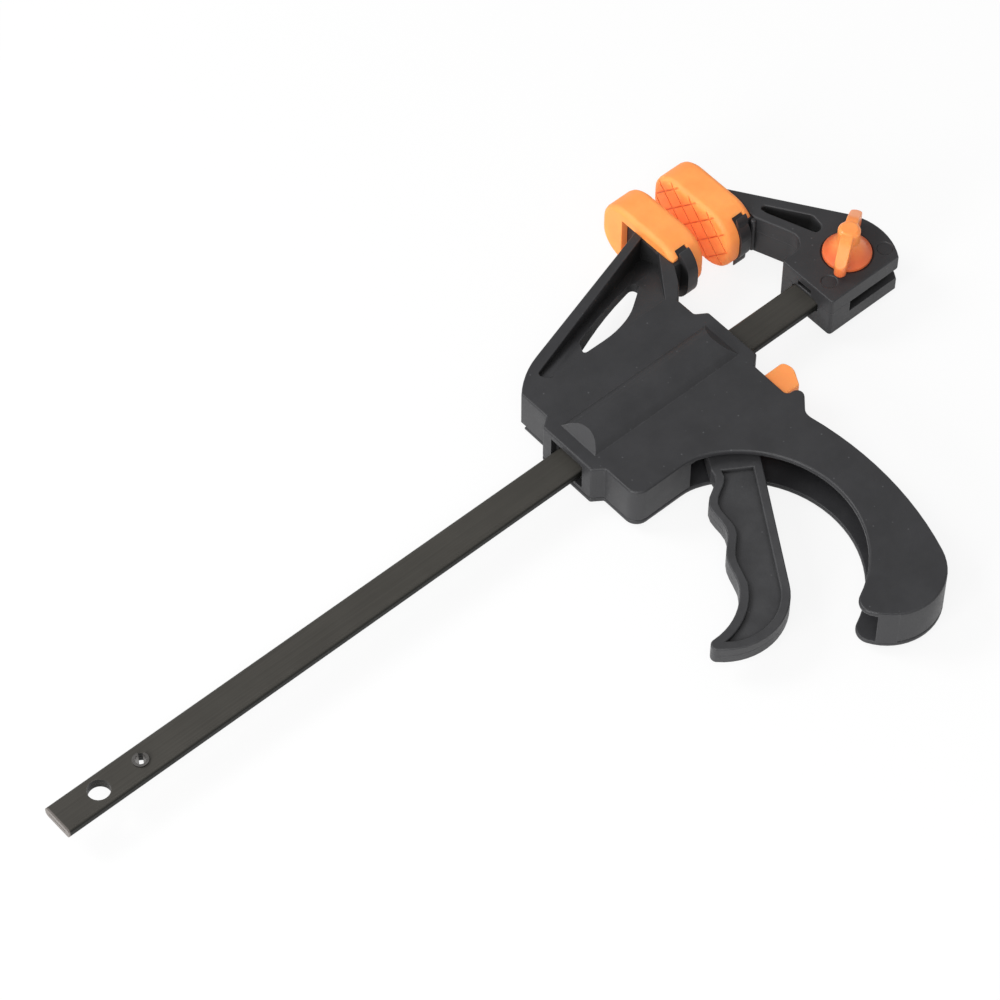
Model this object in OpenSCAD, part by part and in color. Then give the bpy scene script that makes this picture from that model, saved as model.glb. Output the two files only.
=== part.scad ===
// Quick release bar clamp, 150 mm capacity.
// The bar runs along X. The origin is the centre of the hanging hole in the
// bar's tail, at the middle of the bar's thickness. +Y points to the pads and
// +Z out of the side that carries the wing knob.

/* [Bar] */
// Width of the bar, along Y
bar_w = 10.2; // [9.6:0.1:10.6]
// Thickness of the bar, along Z
bar_t = 3.4; // [3:0.1:3.8]
// Distance from the bar's tail end to the hanging hole
hole_from_tail = 13.8; // [10:0.2:20]
// Diameter of the hanging hole and of the locking hole at the other end
bar_hole_d = 6.4; // [5.6:0.1:7]
// Distance from the bar's tail end to the stop pin
pin_from_tail = 27.6; // [24:0.2:40]
// Outer diameter of the slotted stop pin
stop_pin_d = 4.6; // [4:0.1:5]
// Distance between the hanging hole and the locking hole
hole_distance = 270.1; // [262:0.1:290]
// Bar left in front of the locking hole
bar_nose = 11; // [8:0.5:12]

/* [Fixed jaw] */
// Thickness of both jaws and of the casing, along Z
jaw_t = 14.8; // [14.4:0.1:17]
// Length of the fixed jaw's block along the bar, in front of the locking hole
block_front = 16.1; // [14:0.1:20]
// Depth of the block below the bar's middle line
block_low = 10.7; // [9.5:0.1:14]
// Height of the block above the bar's middle line
block_high = 9.9; // [8.6:0.1:12]
// Radius of the round back of the block
block_back_r = 18.8; // [18:0.1:22]
// Width of the ribs round the triangular window
window_rib = 3.4; // [2.4:0.1:4.4]

/* [Pads] */
// Gap between the pads at rest
pad_gap = 7.5; // [4:0.5:12]
// Thickness of the soft face in front of the flange
pad_face_t = 4.5; // [3:0.1:5.2]
// Width of the pads, along Z
pad_w = 21.6; // [20:0.2:24]
// Lower end of the pads above the bar's middle line
pad_low = 25.8; // [24:0.1:27]
// Upper end of the pads above the bar's middle line
pad_high = 58; // [54:0.1:66]
// Corner radius of the pads
pad_r = 9; // [6:0.5:9.5]
// Thickness of a jaw's flange inside its pad
flange_t = 3.8; // [3:0.1:4.6]
// Thickness of the pad's lips behind the flange
lip_t = 2.4; // [1.8:0.1:3]
// Width of the neck between a jaw and its flange, along Z
neck_w = 13.2; // [11:0.1:13.8]

/* [Casing] */
// Wall of the mouldings
wall = 2.2; // [1.8:0.1:2.6]
// Thickness of the casing's upper plate
plate_t = 2; // [1.6:0.1:2.4]
// Thickness of the cover
cover_t = 1.6; // [1.2:0.1:2]
// Length of the casing along the bar, nose to tail
casing_len = 62.4; // [61:0.1:66]
// Radius of the barrel over the springs, about the bar's middle line
barrel_r = 10.2; // [9.9:0.1:11]
// Radius of the finger arch under the casing
arch_r = 33.9; // [32:0.1:35]
// Radius of the handle's front
grip_front_r = 100.6; // [98:0.1:103]
// Radius of the handle's round end
grip_end_r = 16.2; // [15:0.1:17]

/* [Trigger] */
// Thickness of the trigger
trigger_t = 6.2; // [5.8:0.1:8.5]
// Diameter of the trigger's pivot pin
pivot_d = 4; // [3:0.1:5]
// Length of the nose that pushes the drive plates
nose_len = 12; // [11.4:0.1:12.6]
// Travel of the trigger
trigger_travel = 24; // [16:1:25]
// Depth of the hollows in the trigger's faces
trigger_hollow = 1.4; // [0.8:0.1:2]

/* [Plates and springs] */
// Thickness of one drive plate
drive_t = 2.4; // [1.8:0.1:2.8]
// Thickness of the brake plate
brake_t = 2.4; // [2:0.1:2.8]
// Tilt of the brake plate when it grips the bar
brake_tilt = 6; // [4:0.5:6]
// Outer radius of the springs
spring_r = 7.3; // [7:0.1:7.6]
// Wire diameter of the springs
wire_d = 1.3; // [1:0.1:1.5]

/* [Hidden] */

$fn = 64;
arc_sag = 0.03;          // largest distance of an outline's chord from its arc

// Clearances
run_gap = 0.06;          // shaft in its hole
pin_gap = 0.08;          // locking pin in the jaw
bar_gap = 0.3;           // bar in the mouldings
plate_gap = 0.12;        // bar in the steel plates
side_gap = 0.3;          // parts that pass each other
snug = 0.1;              // soft caps on their flanges
press = 0.02;            // pins and screws in their seats

// Bar
bar_tail = -hole_from_tail;
knob_x = hole_distance;
bar_end = knob_x + bar_nose;
bar_edge_r = bar_t * 0.35;
fold_gap = 0.3;
stop_x = bar_tail + pin_from_tail;
stop_proud = 0.6;

// Fixed jaw, in the row frame
half_t = jaw_t / 2;
block_x = knob_x - block_front;
back_x = block_x + 10.8;
arm_lean = 33.4;         // outer edge of the arm from the Y axis
inner_lean = 20.5;       // inner edge of the arm from the Y axis
pad_inset = 1.7;         // pad outline outside its flange
flange_high = pad_high - pad_inset;
flange_w = pad_w - 2 * pad_inset;
pad_edge_r = 1.8;        // rounding of the pads' edges
lip_start = pad_low + 2.4;
cheek_start = pad_high - 8.6;
moving_raise = 1.8;      // moving pad above the fixed one
neck_len = lip_t + 2 * snug;
pad_depth = pad_face_t + flange_t + lip_t + 2 * snug;
fixed_face = block_x - 5.7;
fixed_collar = fixed_face + pad_depth + snug;

// Moving jaw: its parts are drawn with X counted from the casing's nose
moving_face = fixed_face - pad_gap;
face_ahead = 15.4;       // pad face in front of the casing's nose
nose_x = moving_face - face_ahead;
collar_x = face_ahead - pad_depth - snug;
tail_x = -casing_len;
shoulder_x = tail_x + 3.2;
front_x = -3.4;          // casing front beside the nose
nose_half = 9.9;         // half width of the nose and of the tail's step
step_half = 12.2;
casing_low = -25.1;
cover_top_edge = 21;
cover_z = -half_t + cover_t;
plate_z = half_t - plate_t;

bump_y = -26;
hollow_top = 16;         // the room in the casing ends below the arm

// Handle, from the circles that make it
thumb = [front_x - 0.6, -36];           // the front circle starts here
arch_start = [-38.6, casing_low];       // the arch starts here
grip_end = [-23.7, -86.4];              // centre of the handle's end
arch_fillet = 16;
grip_neck = 5.1;         // the arch stays this far from that centre
toe_r = 4.3;
channel_start = arch_start[0] - 0.6;    // the trigger's channel, along the arch
boss_inset = 4.2;        // screw bosses behind the handle's front

grip_front = beside(thumb, grip_front_r, grip_end, grip_front_r - grip_end_r);
arch = beside(arch_start, arch_r, grip_end, arch_r + grip_neck);
toe = beside(arch, arch_r + toe_r, grip_end, grip_end_r - toe_r);
channel_end = toe[0] + 1.6;
grip_end_a = direction(grip_end - grip_front);
grip_top_a = direction(thumb - grip_front);

// Mechanism
pivot = [-22.7, -21.8];
pivot_r = pivot_d / 2;
hub_r = 6.8;
nose_r = 2.4;
nose_arm = 3.4;          // width of the arm that carries the nose
nose_a = trigger_travel / 2;
trigger_a = -123.05;
drive_front = pivot[0] + nose_len * sin(nose_a) - nose_r - 0.2;
drive_mid = drive_front - drive_t;
drive_back = drive_mid - 0.05 - drive_t;
drive_low = pivot[1] + 9.7;    // under the trigger's nose
drive_high = 9.5;
plate_half = 5;
tongue_half = 2.8;
brake_pivot = [-10.1, 10.4];  // round upper edge of the brake plate
brake_wide = 25;         // length of the plate that is as wide as the drive plates
brake_len = 33;
seat_x = tail_x + 8;
mid_wall_x = -21.8;
mid_wall_t = 2;
mid_wall_low = -7;
barrel_wall = 1.6;
barrel_slope = 3.5;
barrel_x0 = tail_x + 4.2;
barrel_x1 = -4;
boss_r = 2.8;
screw_r = 1.3;
head_r = 2.4;
bosses = [
    [tail_x + 8.4, 13.6], [tail_x + 8.4, -19.6], [-15.6, 13.6], [-41, -19.8],
    behind_front(-36), behind_front(-64), grip_end + [3.2, -6.6]
];
screw_len = 9;
button_y = [-24.2, -15.2];
button_front = 6;
button_back = -10.4;
button_half = 4.2;

// ---------- Helpers ----------

// Points of an arc from angle a0 to a1
function arc(c, r, a0, a1) =
    let (n = max(1, ceil(abs(a1 - a0) / (2 * acos(1 - arc_sag / max(r, 0.2))))))
    [for (i = [0:n]) let (a = a0 + (a1 - a0) * i / n) c + r * [cos(a), sin(a)]];

// The same points as corners that stay sharp
function bend(c, r, a0, a1) = [for (p = arc(c, r, a0, a1)) [p[0], p[1], 0]];

function unit(v) = v / norm(v);

// Arc that rounds the corner p between its neighbours a and b
function corner(a, p, b, r) =
    let (u = unit(a - p), v = unit(b - p),
         half = acos(max(-1, min(1, u * v))) / 2,
         c = p + unit(u + v) * r / sin(half),
         s = p + u * r / tan(half), e = p + v * r / tan(half),
         a0 = atan2(s[1] - c[1], s[0] - c[0]),
         a1 = atan2(e[1] - c[1], e[0] - c[0]),
         turn = ((a1 - a0 + 540) % 360) - 180)
    arc(c, r, a0, a0 + turn);

// Closed outline from [x, y, radius] corners
function rounded(pts) =
    let (n = len(pts), xy = [for (p = pts) [p[0], p[1]]])
    [for (i = [0:n - 1])
        each (pts[i][2] > 0
            ? corner(xy[(i + n - 1) % n], xy[i], xy[(i + 1) % n], pts[i][2])
            : [xy[i]])];

// Crossing of the lines through p and q with the directions u and v
function crossing(p, u, q, v) =
    let (d = u[0] * v[1] - u[1] * v[0], w = q - p)
    p + u * (w[0] * v[1] - w[1] * v[0]) / d;

// Centre of a circle that lies at the distances ra and rb from a and b
function beside(a, ra, b, rb) =
    let (d = norm(b - a), u = (b - a) / d, x = (ra * ra - rb * rb + d * d) / (2 * d))
    a + u * x + sqrt(ra * ra - x * x) * [u[1], -u[0]];

// Place of a screw boss at the height y behind the handle's front
function behind_front(y) =
    [grip_front[0] + sqrt(pow(grip_front_r - boss_inset, 2) - pow(y - grip_front[1], 2)), y];

function direction(v) = atan2(v[1], v[0]);

module rounded_rect(w, h, r) {
    square([w - 2 * r, h], center = true);
    square([w, h - 2 * r], center = true);
    for (x = [-1, 1], y = [-1, 1])
        translate([x * (w / 2 - r), y * (h / 2 - r)]) circle(r);
}

// Extrudes a shape drawn in the Y-Z plane along +X from x0
module along_x(x0, len)
    translate([x0, 0, 0]) rotate([90, 0, 90]) linear_extrude(len) children();

// Box from its two opposite corners
module span_box(lo, hi) translate(lo) cube(hi - lo);

// Bar-sized passage with a clearance all round
module bar_passage(x0, x1, gap)
    along_x(x0, x1 - x0) square([bar_w + 2 * gap, bar_t + 2 * gap], center = true);

// ---------- Bar ----------

module bar() color([0.09, 0.09, 0.09]) difference() {
    along_x(bar_tail, bar_end - bar_tail) difference() {
        rounded_rect(bar_w, bar_t, bar_edge_r);
        rounded_rect(bar_w - 3, fold_gap, fold_gap * 0.45);
    }
    for (x = [0, knob_x])
        translate([x, 0, -bar_t]) cylinder(d = bar_hole_d, h = 2 * bar_t);
    translate([stop_x, 0, -bar_t]) cylinder(r = stop_pin_d / 2 + press, h = 2 * bar_t);
}

module stop_pin() color([0.1, 0.1, 0.1])
    translate([stop_x, 0, -bar_t / 2 - stop_proud])
        rotate([0, 0, 75])
            rotate_extrude(angle = 315)
                translate([stop_pin_d / 2 - 0.75, 0]) square([0.75, bar_t + 2 * stop_proud]);

// ---------- Jaws and pads ----------

// Outline with four round corners, in the Y-Z plane
module upright(w, low, high, r)
    polygon(rounded([
        [low, -w / 2, r], [high, -w / 2, r], [high, w / 2, r], [low, w / 2, r]]));

// Flange and neck of a jaw whose collar lies at x = 0 and faces +X. The
// flange fills the pad above lip_start and is as wide as the pad below it.
module flange(foot_low, foot_r, neck_low, neck_high) {
    along_x(neck_len, flange_t) {
        upright(flange_w, lip_start - 3, flange_high, pad_r - pad_inset);
        intersection() {
            upright(pad_w, foot_low, pad_high, foot_r);
            translate([0, -pad_w]) square([lip_start - snug, 2 * pad_w]);
        }
    }
    along_x(-0.4, neck_len + 0.5)
        polygon(rounded([
            [neck_low, -neck_w / 2, 0.6], [neck_high, -neck_w / 2, 1],
            [neck_high, neck_w / 2, 1], [neck_low, neck_w / 2, 0.6]]));
}

// Soft cap with its face at x = pad_depth, open behind round the neck
module pad_cap() difference() {
    hull() for (a = [0:30:90], s = [0, 1]) {
        inset = pad_edge_r * (1 - cos(a));
        x = pad_edge_r * (1 - sin(a));
        along_x(s > 0 ? x : pad_depth - x - 0.02, 0.02)
            upright(pad_w - 2 * inset, pad_low + inset, pad_high - inset, pad_r - inset);
    }
    // seat of the flange
    along_x(lip_t, flange_t + 2 * snug)
        upright(flange_w + 2 * snug, pad_low - 9, flange_high + snug, pad_r - pad_inset + snug);
    // opening for the neck
    span_box([-1, pad_low - 1, -neck_w / 2 - snug],
        [lip_t + 0.2, cheek_start, neck_w / 2 + snug]);
    // the sides stop short of the face's lower end
    span_box([-1, pad_low - 1, -pad_w], [lip_t + flange_t + 2 * snug, lip_start, pad_w]);
}

function jaw_out() = [-sin(arm_lean), cos(arm_lean)];
function jaw_in() = [sin(inner_lean), -cos(inner_lean)];

module fixed_jaw() {
    tangent = [back_x, 0] + block_back_r * [cos(arm_lean), sin(arm_lean)];
    arm_top = crossing(tangent, jaw_out(), [fixed_collar, 0], [0, 1]);
    inner_top = [fixed_collar, lip_start - 1.4];
    inner_low = crossing(inner_top, jaw_in(), [0, block_high], [1, 0]);
    low_a = asin(block_low / block_back_r);
    // sides of the window, a rib's width inside the arm's edges
    side_out = tangent - window_rib * [cos(arm_lean), sin(arm_lean)];
    side_in = inner_top + window_rib * [cos(inner_lean), sin(inner_lean)];
    window_low = block_high + 1.3;
    apex = crossing(side_out, jaw_out(), side_in, jaw_in());
    window_in = crossing([0, window_low], [1, 0], side_in, jaw_in());
    window_out = [window_in[0] + 2.8, window_low];
    window_up = crossing(window_out, [0.14, 1], side_out, jaw_out());
    color([0.1, 0.1, 0.1]) {
        difference() {
            translate([0, 0, -half_t]) linear_extrude(jaw_t) difference() {
                polygon(concat(
                    rounded([[inner_top[0], inner_top[1], 0], [inner_low[0], inner_low[1], 4.8],
                        [block_x, block_high, 0.8], [block_x, -block_low, 1],
                        [back_x + block_back_r * cos(low_a) - 0.2, -block_low, 0]]),
                    arc([back_x, 0], block_back_r, -low_a, arm_lean),
                    [arm_top]));
                polygon(rounded([
                    [apex[0], apex[1], 1.1], [window_in[0], window_in[1], 1],
                    [window_out[0], window_out[1], 2.1], [window_up[0], window_up[1], 2.2]]));
            }
            bar_passage(block_x - 1, back_x + block_back_r + 1, 0.15);
            // side slot that opens the passage behind the front bridge
            span_box([block_x + 7.5, -block_low - 1, -bar_t / 2 - 0.5],
                [back_x + block_back_r + 1, 0, bar_t / 2 + 0.3]);
            // seat and hole of the locking pin
            translate([knob_x, 0, -jaw_t]) cylinder(r = knob_pin_r + pin_gap, h = 2 * jaw_t);
            translate([knob_x, 0, half_t - knob_seat]) cylinder(r = knob_r + side_gap, h = 5);
            translate([knob_x, 0, -half_t - 1]) cylinder(r = pin_head_r + side_gap, h = 1 + head_seat);
            // round ejector marks
            for (p = [[block_x + 25.3, -6], [block_x + 4.8, -4.4]])
                translate([p[0], p[1], half_t - 0.3]) cylinder(r = 2.2, h = 1);
        }
        translate([fixed_collar, 0, 0]) mirror([1, 0, 0])
            flange(pad_low + 1.2, 3, pad_low + 2.1, cheek_start - 8);
    }
}

module fixed_pad() color([1, 0.45, 0.12])
    translate([fixed_face + pad_depth, 0, 0]) mirror([1, 0, 0]) pad_cap();

module moving_pad() color([1, 0.45, 0.12])
    translate([nose_x + collar_x + snug, moving_raise, 0]) pad_cap();

// ---------- Locking knob ----------

knob_r = 7.2;
knob_rim = 1.1;
knob_seat = 0.8;
knob_pin_r = 3;
knob_pin_in = 5.9;       // depth of the pin inside the knob
pin_head_r = 4.2;
head_seat = 2;
knob_a = 33;             // turn of the wing from the bar
knob_base = half_t - knob_seat + side_gap;
hub_top_r = 3.3;
cone_top = half_t + 5.6;
wing_span = 23;
wing_t = 3.5;
wing_low = half_t + 1.9;
wing_shoulder = half_t + 5.4;
wing_top = half_t + 10.6;

module release_knob() color([1, 0.45, 0.12])
    translate([knob_x, 0, 0]) rotate([0, 0, knob_a]) difference() {
        union() {
            rotate_extrude() polygon([
                [0, knob_base], [knob_r, knob_base], [knob_r, knob_base + knob_rim],
                [knob_r - 0.5, knob_base + knob_rim + 0.5], [hub_top_r + 0.7, cone_top - 1],
                [hub_top_r, cone_top], [hub_top_r, wing_top - 0.8], [hub_top_r - 0.9, wing_top],
                [0, wing_top]]);
            wing();
        }
        translate([0, 0, knob_base - 1]) cylinder(r = knob_pin_r + press, h = knob_pin_in + 1.1);
    }

// Wing across the knob: round ends seen from above, sloping shoulders from the side
module wing() intersection() {
    translate([0, 0, wing_low]) linear_extrude(wing_top - wing_low) {
        square([wing_span - wing_t, wing_t], center = true);
        for (s = [-1, 1]) translate([s * (wing_span - wing_t) / 2, 0]) circle(wing_t / 2);
    }
    rotate([90, 0, 0]) translate([0, 0, -wing_t]) linear_extrude(2 * wing_t)
        polygon(rounded([
            [-wing_span, wing_low - 1, 0], [wing_span, wing_low - 1, 0],
            [wing_span / 2 + 0.5, wing_shoulder, 3], [hub_top_r + 1, wing_top - 0.3, 7],
            [-hub_top_r - 1, wing_top - 0.3, 7], [-wing_span / 2 - 0.5, wing_shoulder, 3]]));
}

module knob_pin() color([0.6, 0.6, 0.6]) translate([knob_x, 0, 0]) {
    translate([0, 0, -half_t + 0.4]) cylinder(r = knob_pin_r, h = half_t - 0.4 + knob_base + knob_pin_in);
    translate([0, 0, -half_t + 0.2]) cylinder(r = pin_head_r, h = head_seat - 0.5);
}

// ---------- Casing ----------

// Outline of the casing and handle, without the arm
module casing_2d() {
    polygon(rounded(concat(
        [[shoulder_x, cover_top_edge, 0], [shoulder_x, step_half, 0.4],
            [tail_x, nose_half, 0.8], [tail_x, -nose_half, 0.8],
            [shoulder_x, -step_half, 0.6], [shoulder_x, casing_low, 4],
            [arch_start[0], arch_start[1], arch_fillet]],
        bend(arch, arch_r, direction(arch_start - arch) - 9, direction(toe - arch)),
        bend(toe, toe_r, direction(arch - toe), direction(toe - grip_end) + 360),
        bend(grip_end, grip_end_r, direction(toe - grip_end), grip_end_a),
        bend(grip_front, grip_front_r, grip_end_a, grip_top_a),
        // thumb bump
        [[front_x - 0.7, bump_y - 7.9, 3.5], [front_x + 6.4, bump_y, 2.1], [front_x - 0.2, bump_y, 1.5],
            [front_x, -step_half - 0.6, 0.6], [0, -nose_half, 0.8], [0, nose_half, 0.8],
            [front_x, step_half, 1], [front_x, cover_top_edge, 0]])));
}

// Outline of the arm that carries the moving pad
module arm_2d() {
    c = [tail_x + 22.8, 4.1];
    r = 26.9;
    slope = 16.75;
    start = acos((shoulder_x - c[0]) / r);
    tangent = c + r * [-sin(slope), cos(slope)];
    top = crossing(tangent, [cos(slope), sin(slope)], [collar_x, 0], [0, 1]);
    polygon(concat(
        [[shoulder_x, cover_top_edge - 2]],
        arc(c, r, start, 90 + slope),
        [top, [collar_x, 28.8], [0.3, 22.4], [front_x + 0.4, cover_top_edge - 2]]));
}

// Barrel over the springs on the side s = 1 (top) or -1 (cover)
module barrel(s) {
    rise = barrel_r - half_t;
    intersection() {
        along_x(barrel_x0, barrel_x1 - barrel_x0) circle(barrel_r, $fn = 128);
        rotate([90, 0, 0]) translate([0, 0, -20]) linear_extrude(40) polygon([
            [barrel_x0, s * (half_t - 0.5)], [barrel_x0, s * half_t],
            [barrel_x0 + barrel_slope, s * (half_t + rise + 0.01)],
            [barrel_x1 - barrel_slope, s * (half_t + rise + 0.01)],
            [barrel_x1, s * half_t], [barrel_x1, s * (half_t - 0.5)]]);
    }
}

module barrel_hollow()
    translate([seat_x, 0, 0]) rotate([0, 90, 0])
        cylinder(r = barrel_r - barrel_wall, h = barrel_x1 - barrel_slope - 0.8 - seat_x, $fn = 128);

// Room inside the casing and the handle, open along the arch and at the toe
module hollow_2d() difference() {
    end_r = grip_end_r - wall;
    end_a = -acos((channel_end - grip_end[0]) / end_r);
    front_r = grip_front_r - wall;
    top_y = -34;
    union() {
        translate([tail_x + 5.4, casing_low + wall])
            square([-5.5 - tail_x - 5.4, hollow_top - casing_low - wall]);
        translate([channel_start, top_y]) square([front_x - 1.6 - channel_start, -nose_half - 0.7 - top_y]);
        polygon(concat(
            [[channel_start, top_y + 1], [channel_start, grip_end[1] + 18], [-46, grip_end[1] + 18],
                [-46, grip_end[1] - 18], [channel_end, grip_end[1] - 18]],
            arc(grip_end, end_r, end_a, grip_end_a),
            arc(grip_front, front_r, grip_end_a, asin((top_y + 1 - grip_front[1]) / front_r))));
    }
    // seat of the drive spring
    translate([tail_x, -9.2]) square([seat_x - tail_x, 18.4]);
    // round seat of the brake plate's upper edge
    difference() {
        translate([brake_pivot[0], brake_pivot[1] + 0.25]) square([7, 2.8]);
        translate(brake_pivot) circle(brake_t / 2 + run_gap);
    }
    for (p = bosses) translate(p) circle(boss_r);
}

module jaw_body() color([0.1, 0.1, 0.1]) translate([nose_x, 0, 0]) {
    crease = cover_top_edge + 0.4;
    difference() {
        union() {
            translate([0, 0, cover_z]) linear_extrude(half_t - cover_z) {
                casing_2d();
                arm_2d();
            }
            barrel(1);
        }
        translate([0, 0, cover_z - 1]) linear_extrude(plate_z - cover_z + 1) hollow_2d();
        barrel_hollow();
        bar_passage(tail_x - 1, 1, bar_gap);
        // mouth in the tail
        span_box([tail_x - 1, -6.4, -4], [tail_x + 2, 6.4, 5.4]);
        // window for the button
        span_box([front_x - 2.2, button_y[0] - 1.5, -button_half - 0.5],
            [front_x + 1, button_y[1] + 0.5, button_half + 0.5]);
        arm_hollows(crease);
        for (p = bosses) translate([p[0], p[1], cover_z - 1]) cylinder(r = screw_r + press, h = screw_len);
        translate([pivot[0], pivot[1], 0]) cylinder(r = pivot_r + press, h = half_t - 0.8);
    }
    difference() {
        translate([pivot[0], pivot[1], trigger_t / 2 + side_gap])
            cylinder(r = 4.2, h = plate_z - trigger_t / 2 - side_gap + 0.2);
        translate([pivot[0], pivot[1], 0]) cylinder(r = pivot_r + press, h = half_t);
    }
    mid_wall();
    translate([collar_x, moving_raise, 0])
        flange(pad_low - 2.1, pad_r, lip_start - 1, cheek_start - 5);
}

// Wall that parts the two springs, above the trigger's nose
module mid_wall() along_x(mid_wall_x, mid_wall_t) difference() {
    intersection() {
        translate([mid_wall_low, cover_z]) square([20.9, 20]);
        union() {
            circle(barrel_r - 0.5);
            translate([0, cover_z]) square([20, plate_z - cover_z + 0.2]);
        }
    }
    square([bar_w + 2 * bar_gap, bar_t + 2 * bar_gap], center = true);
}

// Sloping hollow in the arm's upper face, a flat one below it and the window
module arm_hollows(crease) {
    slope = 16.75;
    c = [tail_x + 22.8, 4.1];
    rib = 2.7;
    foot = c + (26.9 - rib) * [-sin(slope), cos(slope)];
    plane = 23.3;
    right = collar_x - 1.3;
    open = collar_x + 1;
    low_top = crossing(foot, [cos(slope), sin(slope)], [right, 0], [0, 1]);
    rib_top = crossing(foot, [cos(slope), sin(slope)], [open, 0], [0, 1]);
    // upper hollow: the floor falls from the crease to the rib, open beside the collar
    intersection() {
        translate([0, 0, -20]) linear_extrude(40) polygon(rounded([
            [foot[0] - 4.6, foot[1] - 2.4, 1], [foot[0] - 3.2, crease, 3],
            [-6.2, crease, 0.8], [open, crease + 15.8, 0], [open, rib_top[1], 0]]));
        translate([0, crease, half_t]) rotate([-plane, 0, 0])
            translate([-100, 0, 0]) cube([200, 60, 30]);
    }
    // lower hollow
    translate([0, 0, cover_z - 1]) linear_extrude(1 - 1.8 - cover_z) polygon(rounded([
        [foot[0] - 4, crease + 1.6, 0.8], [-7.2, crease + 1.6, 0.8],
        [right, crease + 14, 1], [right, low_top[1], 0.8], [foot[0] - 4, foot[1] - 1.2, 0.5]]));
    // window
    translate([0, 0, -20]) linear_extrude(40) polygon(rounded([
        [-36.6, crease + 0.4, 0.8], [-25.6, crease + 0.2, 24], [-17, crease + 2.6, 24],
        [-5.4, crease + 11.2, 2], [-5.6, crease + 14.2, 1.6], [-18.4, crease + 11.6, 110],
        [-33.4, crease + 5.9, 1.2]]));
}

module cover() color([0.11, 0.11, 0.11]) translate([nose_x, 0, 0]) difference() {
    union() {
        translate([0, 0, -half_t]) linear_extrude(cover_t) casing_2d();
        barrel(-1);
        translate([pivot[0], pivot[1], -half_t])
            cylinder(r = 4.2, h = half_t - trigger_t / 2 - side_gap);
    }
    barrel_hollow();
    for (p = bosses) {
        translate([p[0], p[1], -half_t - 1]) cylinder(r = screw_r + 0.3, h = 10);
        translate([p[0], p[1], -half_t - 1]) cylinder(r = head_r + 0.3, h = 1 + cover_t - 0.8);
    }
    translate([pivot[0], pivot[1], -half_t + 0.6]) cylinder(r = pivot_r + press, h = 10);
}

module cover_screws() color([0.5, 0.5, 0.5]) translate([nose_x, 0, 0])
    for (p = bosses) translate([p[0], p[1], -half_t]) {
        cylinder(r = head_r, h = cover_t - 0.8);
        cylinder(r = screw_r, h = screw_len);
    }

module trigger_pin() color([0.7, 0.7, 0.7])
    translate([nose_x + pivot[0], pivot[1], -half_t + 0.7])
        cylinder(r = pivot_r, h = jaw_t - 1.6);

// ---------- Trigger ----------

back_y = 8;
hook = [51.8, -25.4];
hook_r = 19.7;
heel = [53.9, -10.9];
heel_r = back_y - heel[1];
tip = [70.5, -14.6];

// Finger side of the trigger: two swells that die out towards the hook
function swell(x) = 5.7 + (3.3 - 0.09 * (x - 25)) * (0.5 + 0.5 * cos(360 * (x - 25) / 19));

// Trigger with its pivot at the origin and its length along +X
function trigger_outline(inset, x0) = concat(
    [for (x = [x0:2.2:hook[0] - 0.5]) [x, -swell(x) + inset]],
    arc(hook, hook_r + inset, 90, 31 + inset * 2),
    inset > 0 ? [] : arc(tip, 1.9, -140, -20),
    arc(heel, heel_r - inset, inset > 0 ? 4 : -6, 90),
    [[x0, back_y - inset]]);

module trigger() color([0.1, 0.1, 0.1])
    translate([nose_x + pivot[0], pivot[1], 0]) rotate([0, 0, trigger_a]) difference() {
        union() {
            translate([0, 0, -trigger_t / 2]) linear_extrude(trigger_t) {
                polygon(trigger_outline(0, 13));
                polygon([[0, -hub_r], [5, -hub_r], [13.2, -swell(13)], [13.2, back_y],
                    [6, back_y], [0, hub_r]]);
            }
            translate([0, 0, -trigger_t / 2]) cylinder(r = hub_r, h = trigger_t);
            rotate([0, 0, 90 - nose_a - trigger_a]) {
                translate([0, -nose_arm / 2, -trigger_t / 2]) cube([nose_len, nose_arm, trigger_t]);
                translate([nose_len, 0, -trigger_t / 2]) cylinder(r = nose_r, h = trigger_t);
            }
        }
        for (s = [-1, 1])
            translate([0, 0, s > 0 ? trigger_t / 2 - trigger_hollow : -trigger_t / 2 - 1])
                linear_extrude(trigger_hollow + 1) polygon(trigger_outline(2.7, 13.5));
        translate([0, 0, -trigger_t]) cylinder(r = pivot_r + run_gap, h = 2 * trigger_t);
    }

// ---------- Plates, springs and button ----------

module drive_plate(x) color([0.45, 0.45, 0.45])
    translate([nose_x, 0, 0]) along_x(x, drive_t) difference() {
        translate([(drive_low + drive_high) / 2, 0])
            rounded_rect(drive_high - drive_low, 2 * plate_half, 1);
        square([bar_w + 2 * plate_gap, bar_t + 2 * plate_gap], center = true);
    }

module drive_plate_front() drive_plate(drive_mid);

module drive_plate_rear() drive_plate(drive_back);

module brake_plate() color([0.45, 0.45, 0.45])
    translate([nose_x + brake_pivot[0], brake_pivot[1], 0]) rotate([0, 0, brake_tilt]) {
        hole_len = (bar_w + brake_t * sin(brake_tilt)) / cos(brake_tilt) + 0.1;
        difference() {
            for (part = [[brake_wide, plate_half], [brake_len, tongue_half]])
                translate([0, 0, -part[1]]) linear_extrude(2 * part[1]) {
                    circle(brake_t / 2);
                    translate([-brake_t / 2, -part[0]]) square([brake_t, part[0]]);
                }
            along_x(-brake_t, 2 * brake_t) translate([-brake_pivot[1] / cos(brake_tilt), 0])
                square([hole_len, bar_t + 2 * plate_gap], center = true);
        }
    }

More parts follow.
